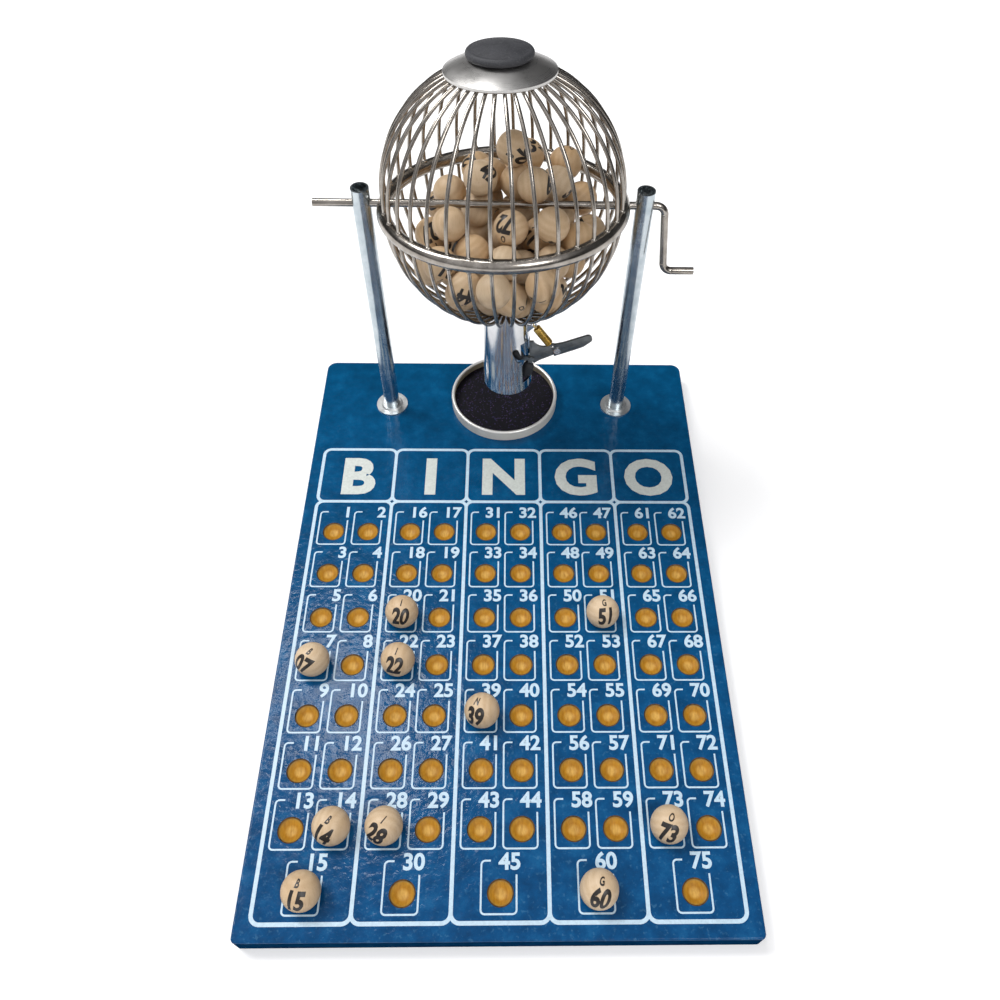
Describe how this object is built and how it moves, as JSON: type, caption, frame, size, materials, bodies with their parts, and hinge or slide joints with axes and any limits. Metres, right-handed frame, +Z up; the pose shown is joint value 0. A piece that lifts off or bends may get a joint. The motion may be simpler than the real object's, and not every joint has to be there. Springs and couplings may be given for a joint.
{
  "type": "bingo cage",
  "caption": "Wire bingo cage that turns on two posts with a crank, a ball release lever and a tray, on a board with drilled ball seats.",
  "frame": {"origin": "centre of the board's underside", "axes": "+X towards the crank, +Y towards the posts, away from the player, +Z up"},
  "size_m": [0.24, 0.3865, 0.2441],
  "materials": {
    "board_paint": "gloss blue lacquer on wood board",
    "zinc_plate": "bright zinc plate",
    "tray_enamel": "satin enamel",
    "tray_lining": "glitter felt",
    "ball_wood": "satin bare wood",
    "nickel_plate": "bright nickel plate",
    "bright_steel": "bright",
    "dark_steel": "dull",
    "brass_wire": "yellow zinc plate",
    "black_rubber": "matte"
  },
  "bodies": {
    "base": {"base_board": "board_paint", "left_post": "zinc_plate", "right_post": "zinc_plate", "foot_washers": "zinc_plate", "post_plugs": "zinc_plate", "post_screws": "zinc_plate", "tray_dish": "tray_enamel", "tray_lining": "tray_lining", "board_balls": "ball_wood"},
    "cage": {"crank_axle": "nickel_plate", "equator_ring": "nickel_plate", "upper_wires": "nickel_plate", "lower_wires": "nickel_plate", "filler_cap": "bright_steel", "discharge_tube": "bright_steel", "lever_bracket": "bright_steel", "spring_lug": "bright_steel", "lever_pin": "bright_steel", "lever_spring": "brass_wire", "cage_balls": "ball_wood"},
    "lever": {"release_lever": "dark_steel", "lever_handle": "dark_steel", "lever_rivet": "bright_steel", "upper_finger_sleeve": "black_rubber", "lower_finger_sleeve": "black_rubber"},
    "plug": {"filler_plug": "black_rubber"}
  },
  "joints": [
    {"name": "cage_spin", "type": "hinge", "parent": "base", "child": "cage", "pos_m": [0, 0.1415, 0.1662], "axis": [1, 0, 0], "continuous": true},
    {"name": "lever_press", "type": "hinge", "parent": "cage", "child": "lever", "pos_m": [0.01616, 0.12221, 0.07436], "axis": [0, 0.989, -0.1478], "range_deg": [0, 35], "stiffness_Nm_per_rad": 0.02, "springref_deg": -20.05, "deforming": ["lever_spring"]},
    {"name": "plug_pull", "type": "slide", "parent": "cage", "child": "plug", "axis": [-0.0209, 0.1478, 0.9888], "range_m": [0, 0.03]}
  ]
}
